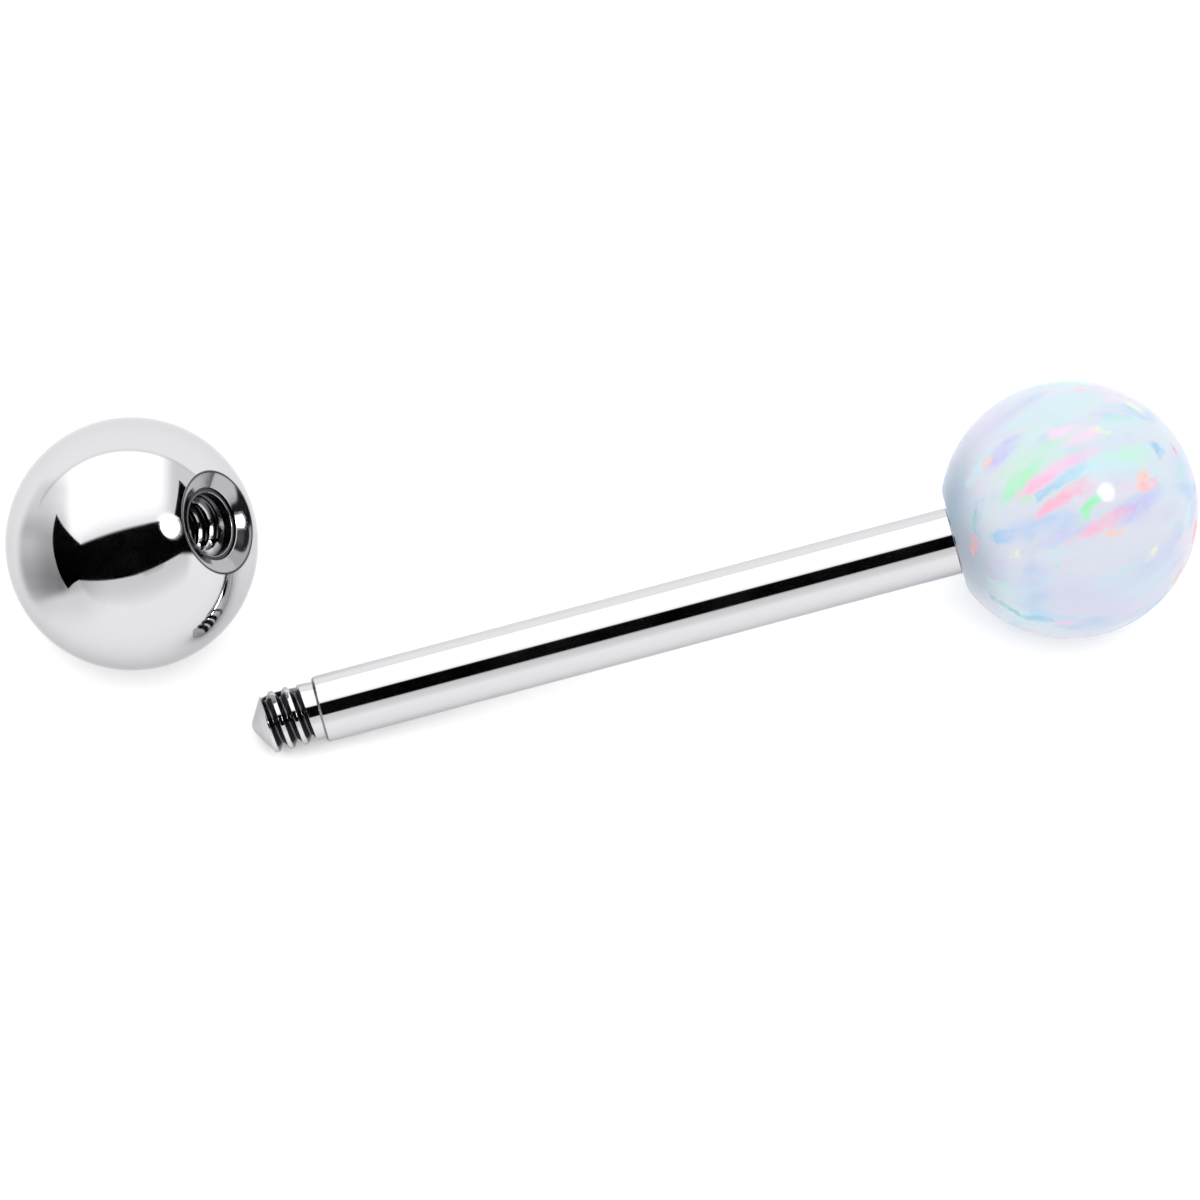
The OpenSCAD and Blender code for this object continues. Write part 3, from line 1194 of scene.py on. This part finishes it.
def tent_glow(x, y, wall, ceiling):
    """How bright the tent is where the steel ball shows it at the spots (x, y)."""
    inside = faded(arc_distance(x, y), *ARC_EDGE)
    line = bell(arc_distance(x, y), ARC_LINE, ARC_LINE_WIDTH)
    beyond_card = y - np.interp(x, *DARK_TOP)
    roof = inside * eased(x, *ROOF_LEFT) * faded(x, *ROOF_RIGHT) * eased(beyond_card, *ROOF_FOOT)
    grey = inside * eased(x, *GREY_LEFT) * eased(y, *GREY_FOOT)
    panel = ceiling * (ROOF_LEAST + (1 - ROOF_LEAST) * eased(beyond_card, *ROOF_RISE))
    glow = wall * (1 - WALL_GREY * grey) * (1 - roof) + panel * roof
    lamp = eased(x, *LAMP_LEFT) * faded(x, *LAMP_RIGHT)
    lamp = lamp * eased(-beyond_card, *LAMP_TOP) * eased(y, *LAMP_FOOT)
    return glow * (1 - ARC_LINE_GREY * line) * (1 - lamp)


def veil_cover(x, y):
    """How much of the light a veil on the left of the steel ball keeps from it."""
    leaves = np.interp(y, *VEIL_LEAVES)
    leaves = leaves + VEIL_THINNER * faded(x, *THINNER_LEFT) * faded(y, *THINNER_TOP)
    inside = VEIL_EDGE + VEIL_BULGE * faded(x, *BULGE_LEFT) - arc_distance(x, y)
    end = VEIL_END + END_SLOPE * (x - END_MIDDLE)
    side = np.clip(1 - leaves, 0, 1) * eased(inside, *EDGE_INSIDE) * eased(y - end, *END_SOFT)
    side = side * faded(x, *VEIL_RIGHT) * faded(y, *VEIL_TOP)
    below = BELOW_SHADE * eased(y, *BELOW_FOOT) * faded(x, *BELOW_RIGHT) * faded(y, *BELOW_TOP)
    below = below * eased(inside, *EDGE_BEYOND)
    tip = TIP_SHADE * bell(x, TIP_MIDDLE, TIP_WIDTH) * eased(y, *TIP_FOOT) * faded(y, *TIP_TOP)
    return 1 - (1 - side) * (1 - below) * (1 - tip)


def tail_cover(x, y, solid, foot, left, right):
    """How solid a faint tail below the dark card is at x, and y above the card's lower edge."""
    return solid * eased(y, *foot) * eased(x, *left) * faded(x, *right)


def dark_cover(x, y):
    """How solid the dark card is at x along the shaft and y across it."""
    above_low = y - np.interp(x, *CARD_LOW)
    beyond_left = x - CARD_LEFT - LEFT_SLOPE * y
    band = eased(above_low, *LOW_SOFT) * eased(beyond_left, *LEFT_SOFT) * faded(x, *CARD_RIGHT)
    wide_tail = tail_cover(x, above_low, *WIDE_TAIL)
    shaft_tail = tail_cover(x, above_low, *SHAFT_TAIL)
    top = TOP_SHARP * faded(y, *TOP_SHARP_EDGE) + (1 - TOP_SHARP) * faded(y, *TOP_SOFT_EDGE)
    solid = top * np.maximum(band, np.maximum(wide_tail, shaft_tail))
    openings = [
        np.hypot((x - middle_x) / half_x, (y - middle_y) / half_y)
        for middle_x, middle_y, half_x, half_y in CARD_OPENINGS
    ]
    return solid * eased(np.minimum(*openings), *OPENING_EDGE)


def hang_tent(studio):
    """Hangs the pale tent around the parts, with its roof light."""
    right, above, back = camera_axes(studio)
    ring = np.arange(TENT_AROUND + 1) * 2 * math.pi / TENT_AROUND
    rise = np.linspace(0, math.pi / 2, TENT_UP + 1)
    turn, lift = flat_grid(ring, rise)
    directions = np.stack(
        [np.cos(lift) * np.cos(turn), np.cos(lift) * np.sin(turn), np.sin(lift)], axis=-1
    )
    out = directions + np.array(back)
    out /= np.linalg.norm(out, axis=-1, keepdims=True)
    x, y = out @ np.array(right), out @ np.array(above)
    glow = tent_glow(x, y, studio.wall_light, studio.ceiling_light)
    foot = np.array((steel_middle.x, steel_middle.y, 0.0))
    points = foot + directions * TENT_RADIUS
    card("Tent", points.tolist(), grid_faces(len(rise), len(ring)), glow=glow)


def hang_lamp(studio):
    """Hangs the small round lamp, a white core with a soft halo."""
    right, above, back = camera_axes(studio)
    aim = (right * LAMP_AIM[0] + above * LAMP_AIM[1] + back * LAMP_AIM[2]).normalized()
    sideways = aim.cross(above).normalized()
    upwards = sideways.cross(aim)
    middle = steel_middle + aim * LAMP_DISTANCE
    spread = LAMP_DISTANCE * math.tan(LAMP_SPREAD)
    points, cover = [], []
    for radius in np.linspace(0, LAMP_END, LAMP_RINGS):
        core = bell(max(radius - CORE_FLAT, 0), 0, CORE_SOFT)
        halo = HALO * bell(max(radius - HALO_FLAT, 0), 0, HALO_SOFT)
        for angle in np.linspace(0, 2 * math.pi, LAMP_SPOKES + 1):
            way = sideways * math.cos(angle) + upwards * math.sin(angle)
            points.append(middle + way * spread * radius)
            cover.append(min(core + halo, 1) * float(faded(radius, *LAMP_FADE)))
    faces = grid_faces(LAMP_RINGS, LAMP_SPOKES + 1)
    card("Round_lamp", points, faces, studio.lamp_light, cover)


def hang_dark_cards(studio):
    """Hangs the dark card close above the parts, along the shaft, and those beside it."""
    right, above, back = camera_axes(studio)
    along = (right * CARD_SLANT[0] + above * CARD_SLANT[1]).normalized()
    across = back.cross(along)
    x, y = flat_grid(np.linspace(*CARD_ALONG), np.linspace(*CARD_ACROSS))
    middle = steel_middle + back * CARD_HEIGHT
    points = [middle + (along * a + across * b) * CARD_UNIT for a, b in zip(x, y)]
    faces = grid_faces(CARD_ACROSS[-1], CARD_ALONG[-1])
    card("Dark_card", points, faces, cover=dark_cover(x, y))

    x, y = flat_grid(np.linspace(*VEIL_ACROSS), np.linspace(*VEIL_UP))
    points = mirrored_corners(studio, zip(x.tolist(), y.tolist()), VEIL_REACH)
    faces = grid_faces(VEIL_UP[-1], VEIL_ACROSS[-1])
    card("Left_veil", points, faces, cover=veil_cover(x, y))

    for name, spots, reach in (
        ("Dark_side_card", DARK_SIDE, SIDE_REACH),
        ("Dark_strip", DARK_STRIP, STRIP_REACH),
    ):
        corners = mirrored_corners(studio, spots, reach)
        last = len(corners)
        fan = [[i, (i + 1) % last, last] for i in range(last)]
        card(name, corners + [sum(corners, Vector()) / last], fan)


def make_floor(studio):
    """Makes the pale floor."""
    side = FLOOR_HALF
    mesh = bpy.data.meshes.new("Floor")
    corners = [(-side, -side, 0), (side, -side, 0), (side, side, 0), (-side, side, 0)]
    mesh.from_pydata(corners, [], [[0, 1, 2, 3]])
    material, tree, output = empty_material("Pale floor")
    look = {
        "Base Color": (*studio.floor_colour, 1),
        "Roughness": 0.9,
        "Specular IOR Level": 0.0,
    }
    add_surface(tree, output, look)
    link_stage("Floor", mesh, material)


def make_sky(scene, studio):
    """Makes the pale room, lightest above the parts."""
    world = bpy.data.worlds.new("Pale room")
    world.use_nodes = True
    sky = world.node_tree
    background = sky.nodes["Background"]
    background.inputs["Color"].default_value = (1, 1, 1, 1)
    toward = add_node(sky, "ShaderNodeTexCoord").outputs["Generated"]
    height = add_node(sky, "ShaderNodeSeparateXYZ", {"Vector": toward}).outputs["Z"]
    lowest, highest = (share * studio.room_light for share in SKY_SHARES)
    bright = ranged(sky, height, 0.0, 1.0, lowest, highest)
    sky.links.new(bright, background.inputs["Strength"])
    scene.world = world


def aim_camera(scene, studio):
    """Makes the camera and aims it at its target."""
    view = bpy.data.cameras.new("Camera")
    view.sensor_width = SENSOR_WIDTH
    view.lens = SENSOR_WIDTH * studio.camera_distance / studio.picture_width
    view.clip_start = NEAREST
    view.clip_end = FARTHEST
    camera = bpy.data.objects.new("Camera", view)
    scene.collection.objects.link(camera)
    right, above, back = camera_axes(studio)
    turn = Matrix((right, above, back)).transposed().to_4x4()
    place = Vector(studio.camera_target) + back * studio.camera_distance
    camera.matrix_world = Matrix.Translation(place) @ turn
    scene.camera = camera


# Operators

# Steps along the outlines of a ball, of the opal's worn edge and of the shaft's tip
BALL_STEPS = 110
WORN_STEPS = 16
TIP_STEPS = 12
# Rounding of the shaft's end at the opal, of edges that a tool has cut, and of the rim
END_EDGE = 0.02 * MM
CUT_EDGE = 0.012 * MM
RIM_EDGE = 0.045 * MM
# How far a groove's runout moves past its crest
CUTTER_PAST = 0.03 * MM
# Length over which the foot of the point is rounded, and heights of rows near that foot, in
# millimetres. Then the height of the lowest of the rows on the point, their number, and the
# share of the foot's radius that is left at the highest
FOOT_BLEND = 0.05 * MM
NEAR_FOOT = (-0.03, -0.015, -0.007, 0, 0.007, 0.015)
ON_POINT = 0.025 * MM
POINT_ROWS = 12
POINT_SHARE = 0.62
# How far the inner thread's band goes on below its groove
BELOW_THREAD = 0.2 * MM
# How dull what a tool has cut is, from 0 to 1, which also darkens it with painted shade: in the
# grooves, on the rim and its edge line, in the seat, the relief and the drilled end. A groove
# grows dull and shaded between two depths
CHAMFER_DULL = 0.65
GROOVE_CUT_AND_SHADE = 0.84
GROOVE_DEPTHS = (0.012 * MM, 0.045 * MM)
POINT_DULL = 0.08
RIM_CUT_AND_SHADE = 0.4
RIM_EDGE_CUT_AND_SHADE = (0, 0.5, 0.85, 0.95, 0.85, 0.6, 0.4)
SEAT_WALL_CUT_AND_SHADE = 0.95
SEAT_FLOOR_CUT_AND_SHADE = 0.92
RELIEF_CUT_AND_SHADE = (0.3, 0, 0.7, 0.95, 0.7, 0, 0, 0.7, 0.95, 0.9, 0.95)
STEP_DULL = 0.1
INNER_CUT_AND_SHADE = 0.85
INNER_DEPTHS = (0.01 * MM, 0.05 * MM)
DRILL_CUT_AND_SHADE = 0.6
# Lean of the step's shading, and how much less the worn rim leans at its edge and beside it
STEP_LEAN = math.radians(26)
RIM_WORN = math.radians(8)
RIM_LESS_WORN = 0.07


class BARBELL_OT_threaded_shaft(bpy.types.Operator):
    """Make the steel shaft with its post, shoulder, thread and rounded point"""

    bl_idname = "barbell.threaded_shaft"
    bl_label = "Threaded shaft"

    def execute(self, context):
        sizes = context.scene.barbell_shaft
        opal = context.scene.barbell_opal
        radius = sizes.diameter / 2
        post = sizes.post_diameter / 2
        crest = sizes.crest_diameter / 2
        full = sizes.fullest_diameter / 2
        neck = sizes.neck_diameter / 2
        start = opal.diameter / 2 - opal.flat_depth + opal.gap
        shoulder = start + sizes.plain_length + sizes.chamfer
        flank_slope = math.tan(sizes.flank_angle / 2)
        half_root = sizes.root_flat / 2
        half_mouth = (sizes.pitch - sizes.crest_flat) / 2
        depth = (half_mouth - half_root) / flank_slope
        root = crest - depth
        foot = shoulder + sizes.thread_length
        half_point = sizes.point_angle / 2
        sharp = foot + crest / math.tan(half_point)
        round_middle = sharp - sizes.point_round / math.sin(half_point)
        widest = shoulder + sizes.neck_length
        start_height = shoulder + sizes.groove_start
        groove = Groove(
            start_height,
            sizes.groove_angle,
            sizes.pitch,
            sharp - start_height,
            half_root,
            half_mouth,
        )

        def outline(height):
            body = np.interp(height, [shoulder, widest, foot], [neck, full, crest])
            point = crest - (height - foot) * math.tan(half_point)
            return lower_of(body, point, FOOT_BLEND)

        def radius_at(angle, height):
            side, share = groove_side(groove, angle, height)
            cut = root + side / flank_slope + (depth + CUTTER_PAST) * (1 - share)
            return lower_of(outline(height), cut, CREST_BLEND)

        top = foot + (crest - POINT_SHARE * crest) / math.tan(half_point)
        near_foot = [foot + step * MM for step in NEAR_FOOT]
        on_point = list(np.linspace(foot + ON_POINT, top, POINT_ROWS))
        fixed = [shoulder, widest] + near_foot + on_point
        thread = threaded_band(groove, radius_at, shoulder, top, fixed, 1)
        x, y, height = np.moveaxis(thread[0], -1, 0)
        # The groove is a rougher cut, with painted shade that deepens into it
        cut_and_shade = GROOVE_CUT_AND_SHADE * eased(outline(height) - np.hypot(x, y), *GROOVE_DEPTHS)
        tangent = math.pi / 2 - half_point
        tip = arc_rows(round_middle, sizes.point_round, tangent, 0, TIP_STEPS)
        top_radius = float(outline(np.array([top]))[0])
        bands = outline_bands(
            corner(0, start - sizes.post_length),
            corner(post, start - sizes.post_length),
            corner(post, start),
            corner(radius, start, END_EDGE, END_EDGE),
            corner(radius, shoulder - sizes.chamfer, CUT_EDGE, CUT_EDGE),
            corner(radius - sizes.chamfer, shoulder, CUT_EDGE, CUT_EDGE / 2, CHAMFER_DULL),
            corner(neck, shoulder),
        )
        bands += [
            with_cut_and_shade(thread, cut_and_shade),
            with_cut_and_shade(turned_band(straight((top_radius, top), tip[0][:2])), POINT_DULL),
            with_cut_and_shade(turned_band(tip), POINT_DULL),
        ]
        make_piece(
            "Threaded_shaft",
            bands,
            barbell_place(),
            polished_steel(context.scene.barbell_steel),
            "threaded_shaft",
        )
        return {"FINISHED"}


class BARBELL_OT_opal_ball(bpy.types.Operator):
    """Make the opal ball with the flat and the hole where the shaft meets it"""

    bl_idname = "barbell.opal_ball"
    bl_label = "Opal ball"

    def execute(self, context):
        sizes = context.scene.barbell_opal
        shaft = context.scene.barbell_shaft
        radius = sizes.diameter / 2
        face = radius - sizes.flat_depth
        worn = sizes.flat_rounding
        middle_out = math.sqrt((radius - worn) ** 2 - (face - worn) ** 2)
        tangent = math.atan2(middle_out, face - worn)
        hole = shaft.post_diameter / 2 + sizes.gap
        bottom = face - shaft.post_length
        bands = [
            turned_band(arc_rows(0, radius, math.pi, tangent, BALL_STEPS)),
            turned_band(arc_rows(face - worn, worn, tangent, 0, WORN_STEPS, middle_out)),
        ]
        bands += outline_bands(
            corner(middle_out, face), corner(hole, face), corner(hole, bottom), corner(0, bottom)
        )
        make_piece(
            "Opal_ball",
            bands,
            barbell_place(),
            milky_opal(sizes),
            "opal_ball",
        )
        return {"FINISHED"}


class BARBELL_OT_steel_ball(bpy.types.Operator):
    """Make the loose steel ball with its sloping rim, seat and threaded hole"""

    bl_idname = "barbell.steel_ball"
    bl_label = "Steel ball"

    def execute(self, context):
        sizes = context.scene.barbell_ball
        shaft = context.scene.barbell_shaft
        radius = sizes.diameter / 2
        seat = sizes.seat_diameter / 2
        relief = sizes.relief_diameter / 2
        bore = sizes.bore_diameter / 2
        groove_radius = sizes.groove_diameter / 2
        rim = seat + sizes.rim_width
        rim_top = math.sqrt(radius * radius - rim * rim)
        seat_top = rim_top - sizes.rim_width / math.tan(sizes.rim_angle / 2)
        seat_floor = seat_top - sizes.seat_depth
        bore_top = seat_floor - sizes.relief_depth
        bore_bottom = seat_floor - sizes.hole_depth
        drill_tip = bore_bottom - bore / math.tan(sizes.drill_angle / 2)
        flank_slope = math.tan(shaft.flank_angle / 2)
        half_flat = shaft.crest_flat / 2
        runout = groove_radius - bore + 2 * CUTTER_PAST
        groove = Groove(
            seat_floor - sizes.thread_length,
            sizes.groove_angle,
            shaft.pitch,
            sizes.thread_length,
            half_flat,
            half_flat + (groove_radius - bore) * flank_slope,
        )

        def radius_at(angle, height):
            side, share = groove_side(groove, angle, height)
            cut = groove_radius - side / flank_slope - runout * (1 - share)
            return -lower_of(-bore + 0 * height, -cut, CREST_BLEND)

        low = groove.start - BELOW_THREAD
        turns = threaded_band(groove, radius_at, low, bore_top, [low, bore_top], -1)
        turns = turns[0][::-1], turns[1][::-1]
        x, y, _ = np.moveaxis(turns[0], -1, 0)
        # The inner groove is a rougher cut, with painted shade that deepens into it
        cut_and_shade = INNER_CUT_AND_SHADE * eased(np.hypot(x, y) - bore, *INNER_DEPTHS)
        step_row = (relief, bore_top, -math.sin(STEP_LEAN), math.cos(STEP_LEAN))
        ring, step_normals = turned_band([step_row, step_row])
        step = np.stack([ring[0], turns[0][0]]), step_normals

        edge_angle = math.asin(rim / radius) + RIM_EDGE / radius
        ball_rows = arc_rows(0, radius, math.pi, edge_angle, BALL_STEPS)
        outer = (rim, rim_top)
        inner = (seat, seat_top)
        rim_start = towards(outer, inner, RIM_EDGE)
        rim_end = towards(inner, outer, CUT_EDGE)
        lean = math.pi / 2 - sizes.rim_angle / 2
        worn_lean = lean - RIM_WORN
        facing_in = (-math.sin(worn_lean), math.cos(worn_lean))
        rim_edge = [
            row[:2] + facing_in if row[2] < facing_in[0] else row
            for row in rounded(ball_rows[-1][:2], outer, rim_start, len(RIM_EDGE_CUT_AND_SHADE) - 1)
        ]
        leans = ((0, worn_lean), (0.25, lean - RIM_LESS_WORN), (0.5, lean), (1, lean))
        rim_rows = [
            (*(rim_start + (rim_end - rim_start) * share), -math.sin(leaning), math.cos(leaning))
            for share, leaning in leans
        ]
        relief_heights = np.linspace(seat_floor - CUT_EDGE, bore_top, len(RELIEF_CUT_AND_SHADE))
        relief_rows = [(relief, height, -1, 0) for height in relief_heights]
        mouth = outline_bands(
            corner(*outer),
            corner(*inner, CUT_EDGE, CUT_EDGE),
            corner(seat, seat_floor, cut_and_shade=SEAT_WALL_CUT_AND_SHADE),
            corner(relief, seat_floor, CUT_EDGE, CUT_EDGE, SEAT_FLOOR_CUT_AND_SHADE),
            corner(relief, bore_top),
        )
        # The rim's edge line, the rim, the seat, the relief and the drilled end get a cut finish
        # and painted shade
        bands = [
            turned_band(ball_rows),
            with_cut_and_shade(turned_band(rim_edge), np.reshape(RIM_EDGE_CUT_AND_SHADE, (-1, 1))),
            with_cut_and_shade(turned_band(rim_rows), RIM_CUT_AND_SHADE),
            # Its first and last stretches are the rim's and the relief's own bands
            *mouth[1:-1],
            with_cut_and_shade(turned_band(relief_rows), np.reshape(RELIEF_CUT_AND_SHADE, (-1, 1))),
            with_cut_and_shade(step, STEP_DULL),
            with_cut_and_shade(turns, cut_and_shade),
            *outline_bands(
                corner(bore, low),
                corner(bore, bore_bottom, cut_and_shade=DRILL_CUT_AND_SHADE),
                corner(0, drill_tip, cut_and_shade=DRILL_CUT_AND_SHADE),
            ),
        ]
        make_piece(
            "Steel_ball",
            bands,
            steel_ball_place(),
            polished_steel(context.scene.barbell_steel),
            "steel_ball",
        )
        return {"FINISHED"}


class BARBELL_OT_studio(bpy.types.Operator):
    """Make the floor, the light, the dark cards that the steel mirrors and the camera"""

    bl_idname = "barbell.studio"
    bl_label = "Studio"

    def execute(self, context):
        scene = context.scene
        studio = scene.barbell_studio
        make_floor(studio)
        make_sky(scene, studio)
        hang_tent(studio)
        hang_lamp(studio)
        hang_dark_cards(studio)
        aim_camera(scene, studio)
        scene.view_settings.view_transform = "Standard"
        return {"FINISHED"}


class BARBELL_PT_parts(bpy.types.Panel):
    """Lists the pieces of the barbell and the studio, with their settings"""

    bl_idname = "BARBELL_PT_parts"
    bl_label = "Tongue barbell"
    bl_space_type = "VIEW_3D"
    bl_region_type = "UI"
    bl_category = "Barbell"

    def draw(self, context):
        for operator, groups in PARTS:
            box = self.layout.box()
            box.operator(operator.bl_idname)
            for settings in (getattr(context.scene, group) for group in groups):
                for field in settings.bl_rna.properties:
                    if field.identifier not in {"rna_type", "name"}:
                        box.prop(settings, field.identifier)


PARTS = (
    (BARBELL_OT_threaded_shaft, ("barbell_shaft", "barbell_steel")),
    (BARBELL_OT_opal_ball, ("barbell_opal",)),
    (BARBELL_OT_steel_ball, ("barbell_ball", "barbell_steel")),
    (BARBELL_OT_studio, ("barbell_studio",)),
)
SETTINGS = {
    "barbell_shaft": ShaftSizes,
    "barbell_opal": OpalSizes,
    "barbell_ball": SteelBallSizes,
    "barbell_steel": SteelFinish,
    "barbell_studio": StudioSettings,
}


def register():
    """Makes the settings, operators and panel known."""
    for name, group in SETTINGS.items():
        bpy.utils.register_class(group)
        setattr(bpy.types.Scene, name, PointerProperty(type=group))
    for operator, _ in PARTS:
        bpy.utils.register_class(operator)
    bpy.utils.register_class(BARBELL_PT_parts)


def unregister():
    """Takes them all away again."""
    bpy.utils.unregister_class(BARBELL_PT_parts)
    for operator, _ in reversed(PARTS):
        bpy.utils.unregister_class(operator)
    for name, group in reversed(SETTINGS.items()):
        delattr(bpy.types.Scene, name)
        bpy.utils.unregister_class(group)


def main():
    """Makes every piece and the studio."""
    register()
    bpy.ops.barbell.threaded_shaft()
    bpy.ops.barbell.opal_ball()
    bpy.ops.barbell.steel_ball()
    bpy.ops.barbell.studio()


if __name__ == "__main__":
    main()
